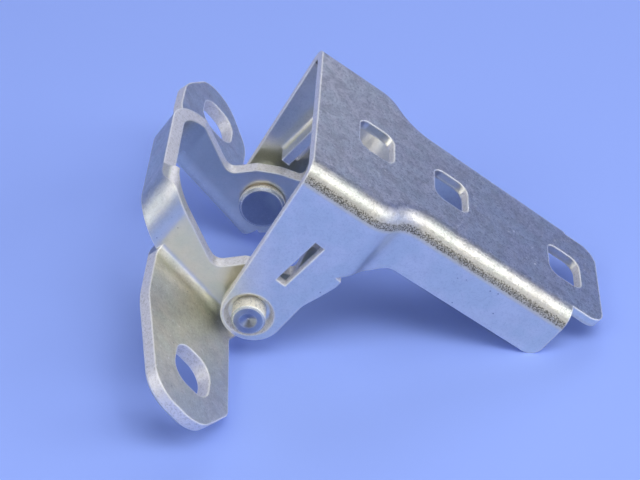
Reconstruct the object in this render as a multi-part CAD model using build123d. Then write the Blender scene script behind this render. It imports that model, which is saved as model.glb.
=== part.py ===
from build123d import *
import os

# Door hinge of two pressed steel leaves, lying open on its side.
# X points from the pillar leaf to the door leaf, Y runs along the hinge axis
# and Z points up. The leaves are drawn round the hinge axis, and the whole
# hinge is moved at the end so that it stands on z = 0.

# Sheet
door_sheet = 3.1
pillar_sheet = 4.6

# Slope of each leaf in the lying pose, in degrees below the X axis
door_slope = 34.5
pillar_slope = 50.4
bridge_slope = 34.0

# Door leaf: a channel whose back carries the door, all from the hinge axis
back_height = 54.4
back_start = -16.0
back_end = 96.5
wide_half = 37.5
narrow_half = 27.2
end_half = 26.2
joggle_start = 8.0
joggle_length = 20.5
bend_radius = 6.5
flange_end = 83.9
flange_foot = 34.6
flange_corner = 4.5
lip_half = 20.2
lip_corner = 6.5
ear_centre = (0.8, 0.9)
ear_radius = 9.85

# Door bolt holes
door_holes = [6.6, 35.7, 81.9]
door_hole_length = 13.2
door_hole_width = 16.2
door_hole_corner = 4.0

# Stop: a slot in each flange, its metal bent in as a stop plate
slot_centre = (1.3, 24.6)
slot_width = 3.5
slot_length = 18.0
slot_lean = 4.5
stop_depth = 7.5
stop_bend = 1.0

# Pressed seat round the pin in each ear
seat_depth = 2.6
seat_rim_radius = 7.8
seat_floor_radius = 6.4
boss_radius = 8.4

# Pillar leaf: a bridge, two arms and two mounting feet
arm_outer = 29.2
bridge_back = -44.4
lower_bridge_corner = 12.5
upper_bridge_corner = 14.5
bridge_top = (-47.0, 2.3)
bridge_top_slope = 4.5
foot_face = -11.0
foot_bend = 3.0
foot_edge = 0.9
foot_top = 7.0
fold_start = -31.3
eye_radius = 11.5
foot_hole_length = 15.0
foot_hole_width = 16.0
foot_hole_corner = 6.0
lower_foot_hole = (-9.0, -66.0)
upper_foot_hole = (-15.6, 67.8)

# Pins and bushes
pin_radius = 4.7
pin_end_radius = 5.2
pin_end = 40.6
pin_end_edge = 0.5
pin_head_radius = 7.7
pin_head_length = 2.0
pin_head_edge = 0.8
dimple_radius = 2.7
dimple_depth = 1.2
running_gap = 0.05
bush_wall = 1.45
inner_flange = 0.8
inner_flange_radius = 7.5
outer_flange_radius = 7.4

# Derived places, as distances from the middle plane
arm_inner = arm_outer - pillar_sheet
foot_back = foot_face - pillar_sheet
ear_inner = wide_half - door_sheet
seat_floor = wide_half - seat_depth
boss_face = ear_inner - seat_depth
outer_flange = boss_face - arm_outer - running_gap
head_seat = arm_inner - inner_flange - running_gap
reach = 120.0


def on_side(sketch, depth=2 * reach):
    """A side view, drawn as (length, height), made solid across the hinge."""
    return extrude(Plane.XZ * sketch, depth / 2, both=True)


def rounded_outline(corners):
    """A flat outline from (x, y, radius) corners, rounded where asked."""
    outline = make_face(Polyline(*[(x, y) for x, y, r in corners], close=True))
    for x, y, r in corners:
        if r:
            corner = outline.vertices().sort_by_distance((x, y))[0]
            outline = fillet(corner, r)
    return outline


def across(radius, near, far):
    """A cylinder on the hinge axis between two places on Y."""
    length = abs(far - near)
    return Pos(0, (near + far) / 2, 0) * Rot(90, 0, 0) * Cylinder(radius, length)


def cone_across(radius_near, radius_far, near, far):
    """A cone on the hinge axis, with a radius for each of two places on Y."""
    edge = Polyline((0, near), (radius_near, near), (radius_far, far), (0, far), close=True)
    return revolve(make_face(edge), Axis.Y)


def channel_outline(start, end):
    """The door channel's outer face seen from above, stepped in between ears and tail."""
    middle = (joggle_start + joggle_length / 2, (wide_half + narrow_half) / 2)
    step_end = (joggle_start + joggle_length, narrow_half)
    edge = Line((start, wide_half), (joggle_start, wide_half))
    edge += TangentArc((joggle_start, wide_half), middle, tangent=(1, 0))
    turn = edge.edges()[-1] % 1
    edge += TangentArc(middle, step_end, tangent=(turn.X, turn.Y))
    edge += Line(step_end, (end, end_half))
    edge += mirror(edge, Plane.XZ)
    edge += Line((start, wide_half), (start, -wide_half))
    edge += Line((end, end_half), (end, -end_half))
    return make_face(edge)


def long_edges(solid):
    """The edges of a channel's back that run from end to end."""
    top = solid.faces().sort_by(Axis.Z)[-1]
    return [edge for edge in top.edges() if abs((edge % 0.5).Y) < 0.999]


def door_channel():
    """The bent channel before its sides are cut to shape."""
    bottom = -20.0
    inner_top = back_height - door_sheet
    outer = extrude(Pos(0, 0, bottom) * channel_outline(back_start, flange_end), back_height - bottom)
    outer = fillet(long_edges(outer), bend_radius)
    inside = offset(channel_outline(back_start - 10, flange_end + 10), -door_sheet)
    inner = extrude(Pos(0, 0, bottom - 5) * inside, inner_top - bottom + 5)
    inner = fillet(long_edges(inner), bend_radius - door_sheet)
    return outer - inner


def door_side():
    """The door leaf seen from the side: ear, leg, notch and long flange."""
    top = back_height + 10
    outline = rounded_outline(
        [
            (-17.2, top, 0),
            (-9.0, ear_centre[1], 0),
            (10.6, ear_centre[1], 0),
            (11.0, 12.5, 6),
            (13.4, 18.0, 0),
            (15.8, 23.3, 2),
            (15.8, 25.4, 0),
            (12.8, 26.8, 0),
            (22.3, 30.8, 6),
            (27.2, flange_foot, 6),
            (flange_end, flange_foot, flange_corner),
            (flange_end, top, 0),
        ]
    )
    return on_side(outline + Pos(*ear_centre) * Circle(ear_radius))


def door_lip():
    """The flat tongue that carries the last bolt hole past the flanges."""
    start = flange_end - 12
    tongue = Pos((start + back_end) / 2, 0) * Rectangle(back_end - start, 2 * lip_half)
    corners = tongue.vertices().group_by(Axis.X)[-1]
    tongue = fillet(corners, lip_corner)
    return Pos(0, 0, back_height - door_sheet) * extrude(tongue, door_sheet)


def door_hole(place):
    """One rounded bolt hole through the back."""
    hole = RectangleRounded(door_hole_length, door_hole_width, door_hole_corner)
    return Pos(place, 0, back_height - 2 * door_sheet) * extrude(hole, 3 * door_sheet)


def stop_slot(side):
    """The slot left in one flange by the stop plate."""
    slot = Pos(*slot_centre) * Rot(0, 0, -slot_lean) * Rectangle(slot_width, slot_length)
    cut = on_side(slot, 2 * door_sheet)
    return Pos(0, side * (wide_half - door_sheet / 2), 0) * cut


def stop_plate(side):
    """The plate bent in from the slot, which meets the horn of the arm."""
    root = -slot_width / 2 - door_sheet - stop_bend
    bend = Line((root - 0.4, 0), (root, 0))
    bend += TangentArc((root, 0), (root + stop_bend, stop_bend), tangent=(1, 0))
    tip = (root + stop_bend, stop_depth)
    bend += Line((root + stop_bend, stop_bend), tip)
    bend += Line(tip, (tip[0] + door_sheet, tip[1]))
    bend += Line((tip[0] + door_sheet, tip[1]), (tip[0] + door_sheet, stop_bend))
    bend += TangentArc(
        (tip[0] + door_sheet, stop_bend), (root, -door_sheet), tangent=(0, -1)
    )
    bend += Line((root, -door_sheet), (root - 0.4, -door_sheet))
    bend += Line((root - 0.4, -door_sheet), (root - 0.4, 0))
    plate = extrude(make_face(bend), slot_length / 2 - 0.4, both=True)
    if side > 0:
        plate = mirror(plate, Plane.XZ)
    place = Pos(slot_centre[0], side * ear_inner, slot_centre[1]) * Rot(0, slot_lean, 0)
    return place * plate


def door_leaf():
    """The whole door leaf, still level: back on top, ear at the hinge axis."""
    leaf = (door_channel() & door_side()) + door_lip()
    for place in door_holes:
        leaf -= door_hole(place)
    for side in (-1, 1):
        leaf -= stop_slot(side)
        leaf += stop_plate(side)
        leaf += across(boss_radius, side * ear_inner, side * boss_face)
        leaf -= cone_across(seat_rim_radius, seat_floor_radius, side * wide_half, side * seat_floor)
        leaf -= across(pin_radius + running_gap, side * boss_face, side * wide_half)
    return leaf


def pillar_side():
    """The pillar leaf's arms seen from the side, above the fold of the feet."""
    fold = foot_face + foot_bend
    outline = rounded_outline(
        [
            (-51.5, -6.9, 0),
            (-44.8, 6.6, 3),
            (-20.2, -0.6, 6),
            (-15.6, -1.6, 3.5),
            (-11.3, 6.6, 0),
            (-5.6, 11.9, 0),
            (1.2, 16.0, 2.0),
            (-5.6, 27.4, 1.6),
            (1.0, 28.4, 3.5),
            (7.4, 17.5, 8),
            (10.8, 5.0, 6),
            (10.8, -5.0, 4),
            (foot_top, fold, 0),
            (fold_start, fold, 0),
            (fold_start, foot_face - 0.6, 0),
        ]
    )
    return on_side(outline + eye_above_fold())


def eye_above_fold():
    """The round eye of an arm, cut off level where the fold begins."""
    fold = foot_face + foot_bend
    return Circle(eye_radius) & (Pos(0, fold + reach / 2) * Rectangle(reach, reach))


def bridge_outline(far, inward):
    """The outer or inner line of the U of bridge and arms, seen square on."""
    back = bridge_back + inward
    half = arm_outer - inward
    return rounded_outline(
        [
            (far, -half, 0),
            (back, -half, lower_bridge_corner - inward),
            (back, half, upper_bridge_corner - inward),
            (far, half, 0),
        ]
    )


def bridge_and_arms():
    """The U of bridge and arms, before its sides are cut to shape."""
    body = bridge_outline(60, 0) - bridge_outline(70, pillar_sheet)
    return Rot(0, bridge_slope - pillar_slope, 0) * extrude(body, 70, both=True)


def bridge_step():
    """What is cut off the bridge's top edge, all but its lower corner."""
    length, height = bridge_top
    outline = make_face(Polyline((-15.5, 9), (-15.5, 2), (-13.0, 0), (40, 0), (40, 9), close=True))
    step = extrude(Plane.YZ * outline, 14, both=True)
    return Pos(length, 0, height) * Rot(0, -bridge_top_slope, 0) * step


def foot_fold(side):
    """One mounting foot with the bend that joins it to its arm."""
    bend_y = arm_outer + foot_bend
    bend_z = foot_face + foot_bend
    lap = 0.5
    edge = Line((arm_inner, bend_z + lap), (arm_inner, bend_z))
    edge += TangentArc((arm_inner, bend_z), (bend_y, foot_back), tangent=(0, -1))
    edge += Line((bend_y, foot_back), (reach, foot_back))
    edge += Line((reach, foot_back), (reach, foot_face))
    edge += Line((reach, foot_face), (bend_y, foot_face))
    edge += TangentArc((bend_y, foot_face), (arm_outer, bend_z), tangent=(-1, 0))
    edge += Line((arm_outer, bend_z), (arm_outer, bend_z + lap))
    edge += Line((arm_outer, bend_z + lap), (arm_inner, bend_z + lap))
    section = make_face(Plane.YZ * edge)
    fold = extrude(section, 60, both=True)
    if side < 0:
        fold = mirror(fold, Plane.XZ)
    return fold


def lower_foot_outline():
    """The lower foot seen square on, with its rounded end."""
    return rounded_outline(
        [
            (fold_start, -20, 0),
            (fold_start, -51.5, 24),
            (-21.4, -86.2, 11),
            (-2.6, -86.2, 12),
            (7.8, -70.0, 5),
            (4.0, -37.0, 4),
            (foot_top, -32.0, 2),
            (foot_top, -20, 0),
        ]
    )


def upper_foot_outline():
    """The upper foot seen square on, set further from the door."""
    return rounded_outline(
        [
            (fold_start, 20, 0),
            (fold_start, 46.0, 12),
            (-33.4, 56.0, 12),
            (-33.0, 70.0, 14),
            (-23.6, 85.0, 9),
            (-11.8, 85.0, 12),
            (-0.3, 70.0, 14),
            (-0.3, 56.0, 8),
            (foot_top, 44.0, 8),
            (foot_top, 20, 0),
        ]
    )


def foot(side, outline, hole_place):
    """One mounting foot cut to its outline, with its bolt hole."""
    hole = Pos(*hole_place) * RectangleRounded(foot_hole_length, foot_hole_width, foot_hole_corner)
    blank = Pos(0, 0, foot_back) * extrude(outline, pillar_sheet + foot_bend + 0.5)
    blank = chamfer(blank.faces().sort_by(Axis.Z)[0].edges(), foot_edge)
    opening = Pos(0, 0, foot_back - 1) * extrude(hole, pillar_sheet + 2)
    return (foot_fold(side) & blank) - opening


def pillar_leaf():
    """The whole pillar leaf, still level: feet below, bridge at the left."""
    leaf = (bridge_and_arms() & pillar_side()) - bridge_step()
    leaf += foot(-1, lower_foot_outline(), lower_foot_hole)
    leaf += foot(1, upper_foot_outline(), upper_foot_hole)
    bore = pin_radius + running_gap + bush_wall + running_gap
    leaf -= across(bore, -reach, reach) & Box(60, 2 * arm_outer + 4, 60)
    return leaf


def pin(side):
    """A pin: flat head inside the arm, upset end with a dimple outside the ear."""
    head_face = side * (head_seat - pin_head_length)
    head = across(pin_head_radius, head_face, side * head_seat)
    head = chamfer(rim_at(head, head_face), pin_head_edge)
    shank = across(pin_radius, side * (head_seat - 1), side * (seat_floor + 1))
    end = across(pin_end_radius, side * (seat_floor + running_gap), side * pin_end)
    end = chamfer(rim_at(end, side * pin_end), pin_end_edge)
    return head + shank + end - dimple(side)


def rim_at(disc, place):
    """The round edge of a disc at one place on Y."""
    return disc.edges().filter_by(GeomType.CIRCLE).sort_by_distance((0, place, 0))[0]


def dimple(side):
    """The punched dimple in a pin's end."""
    floor = side * (pin_end - dimple_depth)
    edge = Polyline((0, side * pin_end), (dimple_radius, side * pin_end), (0, floor), close=True)
    return revolve(make_face(edge), Axis.Y)


def inner_bush(side):
    """A bush pressed through an arm, with its flange between arm and pin head."""
    sleeve = across(pin_radius + running_gap + bush_wall, side * arm_inner, side * arm_outer)
    flange = across(inner_flange_radius, side * (arm_inner - inner_flange), side * arm_inner)
    hole = across(pin_radius + running_gap, side * (arm_inner - 5), side * (arm_outer + 5))
    return sleeve + flange - hole


def outer_bush(side):
    """The thrust bush between an arm and its ear."""
    ring = across(outer_flange_radius, side * arm_outer, side * (arm_outer + outer_flange))
    return ring - across(pin_radius + running_gap, side * arm_outer, side * boss_face)


def build():
    """Every piece of the hinge in its lying pose, standing on the floor."""
    door_turn = Rot(0, door_slope, 0)
    pillar_turn = Rot(0, pillar_slope, 0)
    pieces = {"door_leaf": door_turn * door_leaf(), "pillar_leaf": pillar_turn * pillar_leaf()}
    for name, side in (("lower", -1), ("upper", 1)):
        pieces[name + "_pin"] = pin(side)
        pieces[name + "_inner_bush"] = inner_bush(side)
        pieces[name + "_outer_bush"] = outer_bush(side)
    boxes = [piece.bounding_box() for piece in pieces.values()]
    middle_x = (min(box.min.X for box in boxes) + max(box.max.X for box in boxes)) / 2
    middle_y = (min(box.min.Y for box in boxes) + max(box.max.Y for box in boxes)) / 2
    floor = min(box.min.Z for box in boxes)
    stand = Pos(-middle_x, -middle_y, -floor)
    return {name: stand * piece for name, piece in pieces.items()}


os.makedirs("parts", exist_ok=True)
for name, piece in build().items():
    export_step(piece, "parts/" + name + ".step")
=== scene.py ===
import math

import bpy
import bmesh
from mathutils import Matrix, Vector

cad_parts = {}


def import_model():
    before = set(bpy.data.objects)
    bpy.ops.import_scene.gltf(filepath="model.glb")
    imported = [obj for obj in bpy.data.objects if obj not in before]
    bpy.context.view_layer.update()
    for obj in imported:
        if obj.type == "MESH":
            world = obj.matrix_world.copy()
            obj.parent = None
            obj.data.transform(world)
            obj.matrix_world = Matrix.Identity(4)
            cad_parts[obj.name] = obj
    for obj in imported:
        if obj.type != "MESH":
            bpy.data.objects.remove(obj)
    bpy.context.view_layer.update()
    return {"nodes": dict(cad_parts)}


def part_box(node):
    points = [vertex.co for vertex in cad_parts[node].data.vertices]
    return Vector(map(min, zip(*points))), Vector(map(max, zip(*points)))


# Camera, fitted to the photograph: angles in degrees, distance in metres
view_azimuth = 2.4
view_elevation = 34.0
view_roll = 2.1
view_distance = 0.57576
# Focal length and picture size, in pixels
view_focal = 1900.0
image_width = 640
image_height = 480
# Width of the sensor in millimetres, and how near the camera still sees, in metres
sensor_width = 36.0
near_clip = 0.01
# The middle of the near ear, in metres from the hinge axis, and the pixel where it shows
ear_point = Vector((0.0, -0.0375, 0.0))
ear_pixel = (248.5, 316.0)

# The direction along the hinge axis
hinge_way = (0.0, 1.0, 0.0)

# Slope of each leaf and of the pillar leaf's bridge below the X axis, in degrees
door_slope = 34.5
pillar_slope = 50.4
bridge_slope = 34.0

# Heights from the hinge axis are measured square to the leaf's slope, in metres
# Where the door leaf's flange turns into its back
door_bend_height = 0.0468
# Height of the painted shade line along that bend: a dark band, a painted reflection of the dark
# room mirrored there
door_shade_line_height = 0.0499
# Half the width of that line with its soft edges, and of its full core
shade_line_span = (0.0026, 0.0009)
# A face belongs to a bend where its normal runs less than this out of the leaf's slope
flat_enough = 0.95
# Where an arm of the pillar leaf turns into its foot
foot_bend_height = -0.0090
# How far behind the hinge axis the bridge starts, and half its width
bridge_start = 0.031
bridge_half_width = 0.0295
# The door leaf's bent-in stops lie within this half width, below this height and no further
# than this along the leaf's slope from the axis
stop_half_width = 0.034
stop_top = 0.047
stop_length = 0.014
# No arm, ear or fold lies further from the hinge's middle than this
upright_half_width = 0.045

# Size of the plating's grain and of its dull patches, in metres
grain_size = 0.0008
patch_size = 0.004
# Scale of the pits that break up the painted shade line and of the specks, against the grain,
# and of the tint against the patches
pit_scale_share = 1.8
speck_scale_share = 0.40
tint_scale_share = 0.4
# Share of the places for a speck that stay empty
speck_gap_share = 0.80
# Share of the dull colour that shows where the plating is brightest
least_dullness = 0.35
# Share of the grain that is left on faces that slid along the press tool
smooth_share = 0.22
# Depth in metres and strength of the grain as relief
grain_depth = 0.00020
grain_strength = 0.8

# Where each mask starts and where it is full: in the plating, on the value of its texture
tint_span = (0.42, 0.60)
grit_span = (0.50, 0.38)
glint_span = (0.59, 0.68)
patch_span = (0.38, 0.66)
speck_span = (0.16, 0.06)
# The same for the dark pits of the painted shade line, on the value of their texture less the
# line's mask
pit_span = (-0.16, -0.42)
# The same on faces and edges, on the cosine between two directions
edge_span = (0.995, 0.90)
cut_span = (0.58, 0.50)
stretched_span = (0.24, 0.80)
pin_highlight_span = (0.55, 0.35)
pin_grain_span = (0.97, 0.60)

# How much of each effect shows in the colour
tint_share = 0.35
# Share of the painted glints: white flecks that stand in for the plating's sparkle
glint_share = 0.75
chip_share = 0.50
usual_grit = 0.5
door_grit = 0.75
pillar_grit = 0.35
# Strength of the painted shade line along the door leaf's bend
door_shade_line_strength = 0.8
# Brightness of the grit against the dull plating
grit_darkness = 0.62

# Worn edges with a painted highlight: their width in metres, and the share painted near-white
# and bare, partly worn steel and partly painted highlight
edge_width = 0.0008
edge_wear_and_highlight = 0.9
# How many directions are tried to find an edge
edge_samples = 6

# Roughness of bare steel, and of bright and dull plating
edge_roughness = 0.30
sheared_roughness = 0.40
leaf_gloss = (0.30, 0.38)
pin_gloss = (0.30, 0.40)
bush_gloss = (0.35, 0.45)

# How metallic bare steel and the outer bushes are, where plating is 1
bare_metal = 0.15
outer_bush_shine = 0.4
# Share of a sheared face that counts as bare
sheared_wear = 0.70

# Softboxes: width, distance from the hinge and height of the point they face, in metres
lamp_width = 0.6
lamp_distance = 1.2
lamp_aim_height = 0.03
# Name, compass angle and height angle in degrees, height in metres and power in watts
softboxes = [
    ("right_low", 0.0, 8.0, 0.6, 3.4),
    ("right_key", 345.0, 30.0, 0.6, 2.6),
    ("right_top", 315.0, 52.0, 0.6, 3.8),
    ("front_low", 308.0, 4.0, 0.16, 1.0),
    ("back_right", 75.0, 30.0, 0.6, 1.8),
    ("back_left", 100.0, 48.0, 0.6, 1.8),
    ("left_low", 195.0, 8.0, 0.6, 2.3),
    ("left_key", 225.0, 42.0, 0.6, 3.4),
    ("top", 285.0, 66.0, 0.6, 4.4),
]

# Sky colours in front and behind, from the horizon at 0 to straight overhead at 1
room_steps = [
    (0.0, (0.36, 0.34, 0.26, 1.0)),
    (0.25, (0.26, 0.25, 0.20, 1.0)),
    (0.45, (0.04, 0.04, 0.05, 1.0)),
    (0.75, (0.12, 0.12, 0.13, 1.0)),
    (1.0, (0.20, 0.20, 0.20, 1.0)),
]
backdrop_steps = [
    (0.0, (0.06, 0.09, 0.28, 1.0)),
    (0.20, (0.08, 0.14, 0.45, 1.0)),
    (0.42, (0.08, 0.14, 0.48, 1.0)),
    (0.55, (0.03, 0.04, 0.10, 1.0)),
    (0.80, (0.16, 0.16, 0.17, 1.0)),
    (1.0, (0.20, 0.20, 0.20, 1.0)),
]
# Where the front sky starts to fade into the back one and where it has gone, along Y
sky_span = (-0.25, 0.25)

# Table: half its width in metres, and its surface
table_half_width = 3.0
table_roughness = 0.9
table_sheen = 0.1

# Colours, as red, green, blue and alpha; the far one is what the camera sees past the table
floor_colour = (0.30, 0.42, 0.93, 1.0)
far_colour = (0.27, 0.39, 0.86, 1.0)
door_zinc = (0.92, 0.89, 0.80, 1.0)
door_zinc_dull = (0.56, 0.55, 0.51, 1.0)
pillar_zinc = (0.86, 0.83, 0.73, 1.0)
pillar_zinc_dull = (0.66, 0.64, 0.56, 1.0)
sheared_steel = (0.80, 0.79, 0.80, 1.0)
# Near-white of worn edges and flecks: partly bare worn steel, partly painted highlight on the
# edges and painted glints
worn_and_highlight_steel = (0.97, 0.97, 0.97, 1.0)
# Pale cream on the pins' round sides: a painted highlight that stands in for their lit tops
pin_side_highlight = (0.95, 0.92, 0.80, 1.0)
pin_steel = (0.36, 0.39, 0.46, 1.0)
pin_steel_dull = (0.26, 0.29, 0.35, 1.0)
tint_colour = (0.66, 0.74, 0.66, 1.0)
# The painted shade line: a pale band with dark pits, a painted reflection of the dark room in
# the door leaf's bend
shade_line_pale = (0.46, 0.43, 0.34, 1.0)
shade_line_dark = (0.10, 0.09, 0.06, 1.0)
speck_colour = (0.30, 0.30, 0.31, 1.0)
bush_bronze = (0.50, 0.40, 0.26, 1.0)
bush_bronze_dull = (0.36, 0.28, 0.19, 1.0)
bush_steel = (0.88, 0.87, 0.84, 1.0)
bush_steel_dull = (0.70, 0.69, 0.66, 1.0)


def hinge_axis():
    """The point of the hinge axis in the middle plane of the hinge."""
    low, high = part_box("lower_pin")
    return Vector(((low.x + high.x) / 2, 0.0, (low.z + high.z) / 2))


def out_of_slope(degrees):
    """The unit vector that stands up out of a leaf of this slope."""
    angle = math.radians(degrees)
    return Vector((math.sin(angle), 0.0, math.cos(angle)))


def place_camera(axis):
    """The photograph's viewpoint."""
    azimuth = math.radians(view_azimuth)
    elevation = math.radians(view_elevation)
    right = Vector((math.cos(azimuth), math.sin(azimuth), 0.0))
    forward = Vector((
        -math.sin(azimuth) * math.cos(elevation),
        math.cos(azimuth) * math.cos(elevation),
        -math.sin(elevation),
    ))
    up = right.cross(forward)
    across = (ear_pixel[0] - image_width / 2) / view_focal * view_distance
    above = (image_height / 2 - ear_pixel[1]) / view_focal * view_distance
    place = ear_point - right * across - up * above - forward * view_distance
    roll = Matrix.Rotation(math.radians(-view_roll), 3, "Y")
    turn = Matrix((roll @ right, roll @ up, roll @ -forward)).transposed()
    data = bpy.data.cameras.new("view")
    data.sensor_width = sensor_width
    data.lens = view_focal / image_width * sensor_width
    data.clip_start = near_clip
    camera = bpy.data.objects.new("view", data)
    camera.matrix_world = Matrix.Translation(axis + roll @ place) @ turn.to_4x4()
    bpy.context.scene.collection.objects.link(camera)
    bpy.context.scene.camera = camera


def feed(tree, value, socket):
    """Gives an input socket a plain value, or links it to an output socket."""
    if isinstance(value, bpy.types.NodeSocket):
        tree.links.new(value, socket)
    else:
        socket.default_value = value


def add_node(tree, kind, place, **settings):
    """A shader node with its settings and plain input values."""
    node = tree.nodes.new(kind)
    node.location = place
    for name, value in settings.items():
        if hasattr(node, name):
            setattr(node, name, value)
        else:
            node.inputs[name.replace("_", " ")].default_value = value
    return node


def math_node(tree, operation, place, first, second=None):
    """A Math node; each value is a number or a socket."""
    node = add_node(tree, "ShaderNodeMath", place, operation=operation)
    feed(tree, first, node.inputs[0])
    if second is not None:
        feed(tree, second, node.inputs[1])
    return node.outputs[0]


def product(tree, place, first, second):
    """Two values multiplied, such as two masks."""
    return math_node(tree, "MULTIPLY", place, first, second)


def larger(tree, place, first, second):
    """The larger of two values, such as two masks laid over each other."""
    return math_node(tree, "MAXIMUM", place, first, second)


def size_of(tree, place, value):
    """A value without its sign."""
    return math_node(tree, "ABSOLUTE", place, value)


def dot_node(tree, place, vector, direction):
    """How far a vector runs along a direction, given as a vector or a socket."""
    node = add_node(tree, "ShaderNodeVectorMath", place, operation="DOT_PRODUCT")
    feed(tree, vector, node.inputs[0])
    feed(tree, direction, node.inputs[1])
    return node.outputs["Value"]


def range_node(tree, place, value, span, least=0.0, kind="LINEAR"):
    """A mask that rises from its least to 1 while a value runs along a span."""
    start, end = span
    node = add_node(
        tree, "ShaderNodeMapRange", place, From_Min=start, From_Max=end, To_Min=least
    )
    node.interpolation_type = kind
    feed(tree, value, node.inputs["Value"])
    return node.outputs["Result"]


def noise_node(tree, place, vector, scale, **settings):
    """The value of a noise texture at one scale."""
    node = add_node(tree, "ShaderNodeTexNoise", place, **settings)
    feed(tree, vector, node.inputs["Vector"])
    feed(tree, scale, node.inputs["Scale"])
    return node.outputs["Fac"]


def mix_colour(tree, place, mask, first, second):
    """A colour between two, each given as a colour or a socket."""
    # A Mix node's sockets for colours come after those for numbers and vectors
    node = add_node(tree, "ShaderNodeMix", place, data_type="RGBA")
    feed(tree, mask, node.inputs["Factor"])
    feed(tree, first, node.inputs[6])
    feed(tree, second, node.inputs[7])
    return node.outputs[2]


def mix_value(tree, place, mask, first, second):
    """A number between two, each given as a number or a socket."""
    node = add_node(tree, "ShaderNodeMix", place)
    feed(tree, mask, node.inputs["Factor"])
    feed(tree, first, node.inputs[2])
    feed(tree, second, node.inputs[3])
    return node.outputs[0]


def new_group(name, inputs, outputs):
    """An empty shader node group: inputs are numbers with a value, outputs have a kind."""
    tree = bpy.data.node_groups.new(name, "ShaderNodeTree")
    for label, value in inputs:
        socket = tree.interface.new_socket(
            name=label, in_out="INPUT", socket_type="NodeSocketFloat"
        )
        socket.default_value = value
    for label, kind in outputs:
        tree.interface.new_socket(name=label, in_out="OUTPUT", socket_type=kind)
    entry = add_node(tree, "NodeGroupInput", (-900, 0))
    leave = add_node(tree, "NodeGroupOutput", (700, 0))
    return tree, entry.outputs, leave.inputs


def mask_outputs(*labels):
    """Number outputs of a node group."""
    return [(label, "NodeSocketFloat") for label in labels]


def plating_group():
    """Zinc plating: a fine grain, soft dull patches, specks and flecks of painted glint.

    Pressed says how far the grain stands out: least on faces that slid along the press tool.
    """
    tree, given, out = new_group(
        "zinc_plating",
        [("Grain Size", grain_size), ("Patch Size", patch_size), ("Pressed", 1.0)],
        mask_outputs("Grain", "Grit", "Glint Flecks", "Tint", "Pits", "Patches", "Specks"),
    )
    place = add_node(tree, "ShaderNodeTexCoord", (-900, -300)).outputs["Object"]
    pressed = given["Pressed"]
    grain_scale = math_node(tree, "DIVIDE", (-700, 200), 1.0, given["Grain Size"])
    patch_scale = math_node(tree, "DIVIDE", (-700, -100), 1.0, given["Patch Size"])
    speck_scale = product(tree, (-650, -350), grain_scale, speck_scale_share)
    pit_scale = product(tree, (-650, -800), grain_scale, pit_scale_share)
    tint_scale = product(tree, (-650, -600), patch_scale, tint_scale_share)
    fine = noise_node(
        tree, (-450, 300), place, grain_scale, Detail=4.0, Roughness=0.75, Distortion=0.8
    )
    coarse = noise_node(tree, (-450, 0), place, patch_scale, Detail=4.0, Roughness=0.6)
    pits = noise_node(tree, (-450, -800), place, pit_scale, Detail=1.0, Roughness=0.6)
    broad = noise_node(tree, (-450, -600), place, tint_scale, Detail=2.0, Roughness=0.5)
    spots = add_node(tree, "ShaderNodeTexVoronoi", (-450, -300))
    feed(tree, place, spots.inputs["Vector"])
    feed(tree, speck_scale, spots.inputs["Scale"])
    feed(tree, pits, out["Pits"])
    feed(tree, range_node(tree, (-200, -600), broad, tint_span), out["Tint"])
    feed(tree, product(tree, (0, 300), fine, pressed), out["Grain"])
    grit = range_node(tree, (-200, 200), fine, grit_span)
    feed(tree, product(tree, (0, 200), grit, pressed), out["Grit"])
    glint_flecks = range_node(tree, (-200, 100), fine, glint_span)
    feed(tree, product(tree, (0, 100), glint_flecks, pressed), out["Glint Flecks"])
    patches = range_node(
        tree, (-200, 0), coarse, patch_span, least=least_dullness, kind="SMOOTHSTEP"
    )
    feed(tree, product(tree, (0, 0), patches, pressed), out["Patches"])
    close = range_node(tree, (-200, -300), spots.outputs["Distance"], speck_span)
    rare = math_node(
        tree, "GREATER_THAN", (0, -450), spots.outputs["Color"], speck_gap_share
    )
    feed(tree, product(tree, (200, -300), close, rare), out["Specks"])
    return tree


def edge_group():
    """Worn edges with a painted highlight: a rounded normal, and a mask where it leaves the flat
    one.
    """
    tree, given, out = new_group(
        "worn_highlit_edges",
        [("Radius", edge_width)],
        [("Rounded Normal", "NodeSocketVector"), ("Edge", "NodeSocketFloat")],
    )
    bevel = add_node(tree, "ShaderNodeBevel", (-500, 100), samples=edge_samples)
    feed(tree, given["Radius"], bevel.inputs["Radius"])
    rounded = bevel.outputs["Normal"]
    flat = add_node(tree, "ShaderNodeNewGeometry", (-500, -150)).outputs["Normal"]
    lean = dot_node(tree, (-250, 0), rounded, flat)
    feed(tree, rounded, out["Rounded Normal"])
    feed(tree, range_node(tree, (0, 0), lean, edge_span), out["Edge"])
    return tree


def painted_shade_line(tree, height, flat, shade_line):
    """The painted shade line along a bend, at one height above the axis: a painted reflection of
    the dark room in the bend.
    """
    off = math_node(tree, "SUBTRACT", (-300, -400), height, shade_line)
    off = size_of(tree, (-100, -400), off)
    line = range_node(tree, (100, -400), off, shade_line_span)
    bent = math_node(tree, "LESS_THAN", (100, -600), flat, flat_enough)
    return product(tree, (300, -400), line, bent)


def bridge_faces(tree, shift, normal, across):
    """The bridge's own two faces, which lean otherwise than the arms and the feet."""
    rear = out_of_slope(bridge_slope - 90.0)
    reach = dot_node(tree, (-500, 600), shift, rear)
    reached = math_node(tree, "GREATER_THAN", (-300, 600), reach, bridge_start)
    facing = size_of(tree, (-300, 800), dot_node(tree, (-500, 800), normal, rear))
    facing = product(tree, (-100, 700), facing, reached)
    between = math_node(tree, "LESS_THAN", (-100, 1000), across, bridge_half_width)
    return product(tree, (100, 800), facing, between)


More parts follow.
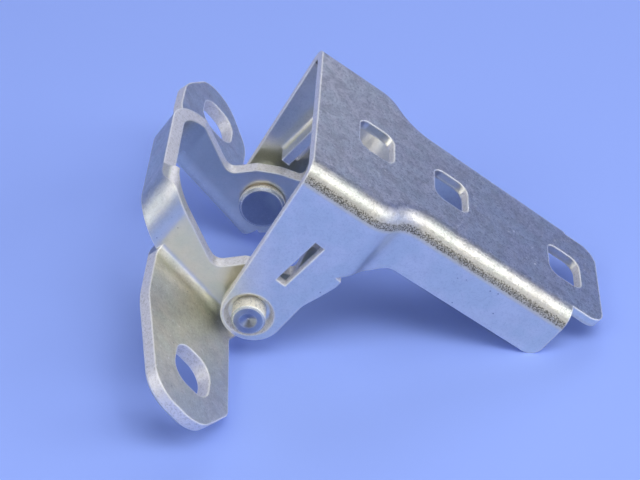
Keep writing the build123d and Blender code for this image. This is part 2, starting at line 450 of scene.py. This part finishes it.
def outside_stops(tree, shift, height, across, slope):
    """Everything but the door leaf's bent-in stops, whose faces are no sheared ones."""
    along = dot_node(tree, (-500, 1200), shift, out_of_slope(slope + 90.0))
    near = math_node(tree, "LESS_THAN", (-300, 1200), along, stop_length)
    low = math_node(tree, "LESS_THAN", (-300, 1400), height, stop_top)
    inside = math_node(tree, "LESS_THAN", (-300, 1600), across, stop_half_width)
    stop = product(tree, (-100, 1300), near, low)
    stop = product(tree, (100, 1300), stop, inside)
    return math_node(tree, "SUBTRACT", (300, 1300), 1.0, stop)


def cut_group(name, axis, slope, split, shade_line, on_door):
    """Masks of one leaf: its sheared faces, its painted shade line and its stretched faces.

    The sheet lies flat in the leaf's slope in the door leaf's back, above the split height, and
    in the pillar leaf's feet, below it. Elsewhere it stands square to the hinge axis, apart
    from the bridge. Cut marks the thin sides and hole walls, where the sheet was cut. Shade Line
    is the painted shade line, a painted reflection of the dark room along the bend. Pressed is
    full on backs, feet and cut faces, and least on the sides that slid along the press tool.
    """
    tree, _, out = new_group(name, [], mask_outputs("Cut", "Shade Line", "Pressed"))
    coordinates = add_node(tree, "ShaderNodeTexCoord", (-900, 0))
    normal = coordinates.outputs["Normal"]
    from_axis = add_node(tree, "ShaderNodeVectorMath", (-700, -200), operation="SUBTRACT")
    feed(tree, coordinates.outputs["Object"], from_axis.inputs[0])
    feed(tree, axis, from_axis.inputs[1])
    shift = from_axis.outputs["Vector"]
    height = dot_node(tree, (-500, -200), shift, out_of_slope(slope))
    across = size_of(tree, (-300, 1000), dot_node(tree, (-500, 1000), shift, hinge_way))
    flat = dot_node(tree, (-500, 100), normal, out_of_slope(slope))
    flat = size_of(tree, (-300, 100), flat)
    square = size_of(tree, (-300, 300), dot_node(tree, (-500, 300), normal, hinge_way))
    compare = "GREATER_THAN" if on_door else "LESS_THAN"
    beyond = math_node(tree, compare, (-300, -200), height, split)
    lying = product(tree, (-100, 0), flat, beyond)
    upright = math_node(tree, "LESS_THAN", (-300, 450), across, upright_half_width)
    standing = product(tree, (-100, 300), square, upright)
    sheet = larger(tree, (100, 100), lying, standing)
    stretched = flat
    if not on_door:
        facing = bridge_faces(tree, shift, normal, across)
        sheet = larger(tree, (200, 300), sheet, facing)
        stretched = larger(tree, (-100, -800), flat, facing)
    cut = range_node(tree, (300, 0), sheet, cut_span)
    if on_door:
        elsewhere = outside_stops(tree, shift, height, across, slope)
        cut = product(tree, (500, 100), cut, elsewhere)
    pressed = range_node(tree, (100, -800), stretched, stretched_span, least=smooth_share)
    feed(tree, cut, out["Cut"])
    feed(tree, painted_shade_line(tree, height, flat, shade_line), out["Shade Line"])
    feed(tree, larger(tree, (500, -800), pressed, cut), out["Pressed"])
    return tree


def turned_group():
    """Masks of a pin: its round sides get a painted highlight, and its ends stay smooth."""
    tree, _, out = new_group("turned_sides", [], mask_outputs("Cut", "Shade Line", "Pressed"))
    normal = add_node(tree, "ShaderNodeTexCoord", (-700, 0)).outputs["Normal"]
    across = size_of(tree, (-300, 0), dot_node(tree, (-500, 0), normal, hinge_way))
    pressed = range_node(tree, (-100, -300), across, pin_grain_span, least=smooth_share)
    feed(tree, range_node(tree, (-100, 0), across, pin_highlight_span), out["Cut"])
    feed(tree, pressed, out["Pressed"])
    return tree


def plating_colour(tree, plating, bright, dull, grit_colour, grit_share):
    """The colour of plating that isn't worn, from bright to dull, with grit and specks."""
    grit = product(tree, (-600, 500), plating["Grit"], grit_share)
    tint = product(tree, (-600, 700), plating["Tint"], tint_share)
    colour = mix_colour(tree, (-600, 300), plating["Patches"], bright, dull)
    colour = mix_colour(tree, (-500, 300), tint, colour, tint_colour)
    colour = mix_colour(tree, (-400, 300), grit, colour, grit_colour)
    return mix_colour(tree, (-200, 300), plating["Specks"], colour, speck_colour)


def shade_line_colour(tree, pits, shade_line, colour):
    """The painted shade line's colour: a pale band with dark pits that dissolve beside it, a
    painted reflection of the dark room in the bend.
    """
    left_over = math_node(tree, "SUBTRACT", (-300, 900), pits, shade_line)
    shade_pits = range_node(tree, (-100, 900), left_over, pit_span)
    colour = mix_colour(tree, (-150, 400), shade_line, colour, shade_line_pale)
    return mix_colour(tree, (-100, 300), shade_pits, colour, shade_line_dark)


def bared_colour(tree, grit, sheared, colour, bared, grit_colour):
    """The colour with its sheared faces bare, where a little of the grit is left."""
    chips = product(tree, (-400, 500), grit, chip_share)
    pale = mix_colour(tree, (-200, 500), chips, bared, grit_colour)
    return mix_colour(tree, (0, 300), sheared, colour, pale)


def plated_metal(
    name,
    groups,
    bright,
    dull,
    gloss,
    cut=None,
    grit_share=usual_grit,
    shade_line_share=0.0,
    shine=1.0,
    bared=sheared_steel,
):
    """Plated steel with grain, dull patches, worn edges with a painted highlight, painted glints
    and, with a cut group, bared faces and a painted shade line.
    """
    material = bpy.data.materials.new(name)
    material.use_nodes = True
    tree = material.node_tree
    shader = tree.nodes["Principled BSDF"]
    shader.location = (700, 0)
    coat = add_node(tree, "ShaderNodeGroup", (-900, 200), node_tree=groups["plating"])
    plating = coat.outputs
    edges = add_node(tree, "ShaderNodeGroup", (-900, -200), node_tree=groups["edges"])
    grit_colour = tuple(grit_darkness * part for part in dull[:3]) + (1.0,)
    colour = plating_colour(tree, plating, bright, dull, grit_colour, grit_share)
    rough = mix_value(tree, (-600, 0), plating["Patches"], gloss[0], gloss[1])
    glint_flecks = product(tree, (-600, -400), plating["Glint Flecks"], glint_share)
    edge = product(tree, (-400, -150), edges.outputs["Edge"], edge_wear_and_highlight)
    shining = larger(tree, (-200, -150), edge, glint_flecks)
    bare = shining
    if cut:
        faces = add_node(tree, "ShaderNodeGroup", (-1100, 0), node_tree=cut).outputs
        feed(tree, faces["Pressed"], coat.inputs["Pressed"])
        sheared = faces["Cut"]
        # The painted shade line along the bend, which is also made less metallic below
        shade_line = product(tree, (-300, 700), faces["Shade Line"], shade_line_share)
        colour = shade_line_colour(tree, plating["Pits"], shade_line, colour)
        colour = bared_colour(tree, plating["Grit"], sheared, colour, bared, grit_colour)
        rough = mix_value(tree, (-200, 0), sheared, rough, sheared_roughness)
        torn = product(tree, (-200, -300), sheared, sheared_wear)
        bare = larger(tree, (0, -300), bare, torn)
        bare = larger(tree, (200, -300), bare, shade_line)
    # Edges and flecks painted near-white: worn steel with a painted highlight, and painted
    # glints
    colour = mix_colour(tree, (200, 300), shining, colour, worn_and_highlight_steel)
    rough = mix_value(tree, (200, 0), edge, rough, edge_roughness)
    metal = mix_value(tree, (400, -150), bare, shine, bare_metal)
    bump = add_node(
        tree, "ShaderNodeBump", (400, -350), Strength=grain_strength, Distance=grain_depth
    )
    feed(tree, plating["Grain"], bump.inputs["Height"])
    feed(tree, edges.outputs["Rounded Normal"], bump.inputs["Normal"])
    feed(tree, colour, shader.inputs["Base Color"])
    feed(tree, rough, shader.inputs["Roughness"])
    feed(tree, metal, shader.inputs["Metallic"])
    feed(tree, bump.outputs["Normal"], shader.inputs["Normal"])
    return material


def dress(nodes, names, material):
    """Gives CAD nodes one material."""
    for name in names:
        mesh = nodes[name].data
        mesh.materials.clear()
        mesh.materials.append(material)


def door_finish(groups, axis):
    """The door leaf: pale zinc with coarse grit, and a painted shade line along its bend."""
    cut = cut_group(
        "door_cut_faces", axis, door_slope, door_bend_height, door_shade_line_height, True
    )
    return plated_metal(
        "door_zinc",
        groups,
        door_zinc,
        door_zinc_dull,
        leaf_gloss,
        cut=cut,
        grit_share=door_grit,
        shade_line_share=door_shade_line_strength,
    )


def pillar_finish(groups, axis):
    """The pillar leaf: warmer zinc with little grit and no painted shade line."""
    cut = cut_group(
        "pillar_cut_faces", axis, pillar_slope, foot_bend_height, foot_bend_height, False
    )
    return plated_metal(
        "pillar_zinc",
        groups,
        pillar_zinc,
        pillar_zinc_dull,
        leaf_gloss,
        cut=cut,
        grit_share=pillar_grit,
    )


def pin_finish(groups):
    """The pins: blue-grey ends, and pale sides that are a painted highlight."""
    return plated_metal(
        "pin_steel",
        groups,
        pin_steel,
        pin_steel_dull,
        pin_gloss,
        cut=turned_group(),
        bared=pin_side_highlight,
    )


def inner_bush_finish(groups):
    """The inner bushes: bronze."""
    return plated_metal("bush_bronze", groups, bush_bronze, bush_bronze_dull, bush_gloss)


def outer_bush_finish(groups):
    """The outer bushes: pale steel that mirrors little."""
    return plated_metal(
        "bush_steel",
        groups,
        bush_steel,
        bush_steel_dull,
        bush_gloss,
        shine=outer_bush_shine,
    )


def dress_hinge(nodes, axis):
    """Gives every piece of the hinge its finish."""
    groups = {"plating": plating_group(), "edges": edge_group()}
    dress(nodes, ["door_leaf"], door_finish(groups, axis))
    dress(nodes, ["pillar_leaf"], pillar_finish(groups, axis))
    dress(nodes, ["lower_pin", "upper_pin"], pin_finish(groups))
    dress(nodes, ["lower_inner_bush", "upper_inner_bush"], inner_bush_finish(groups))
    dress(nodes, ["lower_outer_bush", "upper_outer_bush"], outer_bush_finish(groups))


def lay_floor():
    """The pale blue table under the hinge."""
    shape = bmesh.new()
    bmesh.ops.create_grid(shape, x_segments=1, y_segments=1, size=table_half_width)
    mesh = bpy.data.meshes.new("table_top")
    shape.to_mesh(mesh)
    shape.free()
    floor = bpy.data.objects.new("table_top", mesh)
    bpy.context.scene.collection.objects.link(floor)
    material = bpy.data.materials.new("table_paper")
    material.use_nodes = True
    shader = material.node_tree.nodes["Principled BSDF"]
    shader.inputs["Base Color"].default_value = floor_colour
    shader.inputs["Roughness"].default_value = table_roughness
    shader.inputs["Specular IOR Level"].default_value = table_sheen
    mesh.materials.append(material)


def soft_light(name, azimuth, elevation, height, power):
    """A softbox at one compass angle and height angle, facing the hinge."""
    turn = math.radians(azimuth)
    rise = math.radians(elevation)
    way = Vector((
        math.cos(turn) * math.cos(rise),
        math.sin(turn) * math.cos(rise),
        math.sin(rise),
    ))
    data = bpy.data.lights.new(name, "AREA")
    data.shape = "RECTANGLE"
    data.size = lamp_width
    data.size_y = height
    data.energy = power
    lamp = bpy.data.objects.new(name, data)
    lamp.location = way * lamp_distance + Vector((0.0, 0.0, lamp_aim_height))
    lamp.rotation_euler = (-way).to_track_quat("-Z", "Y").to_euler()
    bpy.context.scene.collection.objects.link(lamp)


def sky_ramp(tree, place, height, steps):
    """Sky colour by height, from the horizon at 0 to straight overhead at 1."""
    ramp = add_node(tree, "ShaderNodeValToRGB", place)
    marks = ramp.color_ramp.elements
    for height_mark, colour in steps[1:-1]:
        marks.new(height_mark).color = colour
    marks[0].position, marks[0].color = steps[0]
    marks[-1].position, marks[-1].color = steps[-1]
    feed(tree, height, ramp.inputs["Fac"])
    return ramp.outputs["Color"]


def light_studio():
    """Soft studio light: softboxes all round, a blue backdrop behind and a dim room in front."""
    world = bpy.data.worlds.new("studio")
    bpy.context.scene.world = world
    world.use_nodes = True
    tree = world.node_tree
    back = tree.nodes["Background"]
    way = add_node(tree, "ShaderNodeTexCoord", (-1000, 0)).outputs["Generated"]
    parts = add_node(tree, "ShaderNodeSeparateXYZ", (-800, 0))
    feed(tree, way, parts.inputs[0])
    behind = range_node(tree, (-600, 300), parts.outputs["Y"], sky_span)
    room = sky_ramp(tree, (-600, 0), parts.outputs["Z"], room_steps)
    backdrop = sky_ramp(tree, (-600, -300), parts.outputs["Z"], backdrop_steps)
    sky = mix_colour(tree, (-300, 0), behind, room, backdrop)
    seen = add_node(tree, "ShaderNodeLightPath", (-300, 300)).outputs["Is Camera Ray"]
    sky = mix_colour(tree, (-100, 0), seen, sky, far_colour)
    feed(tree, sky, back.inputs["Color"])
    back.inputs["Strength"].default_value = 1.0
    for name, azimuth, elevation, height, power in softboxes:
        soft_light(name, azimuth, elevation, height, power)


def main():
    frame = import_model()
    nodes = frame["nodes"]
    axis = hinge_axis()
    place_camera(axis)
    dress_hinge(nodes, axis)
    lay_floor()
    light_studio()
    bpy.context.scene.view_settings.view_transform = "Standard"


main()
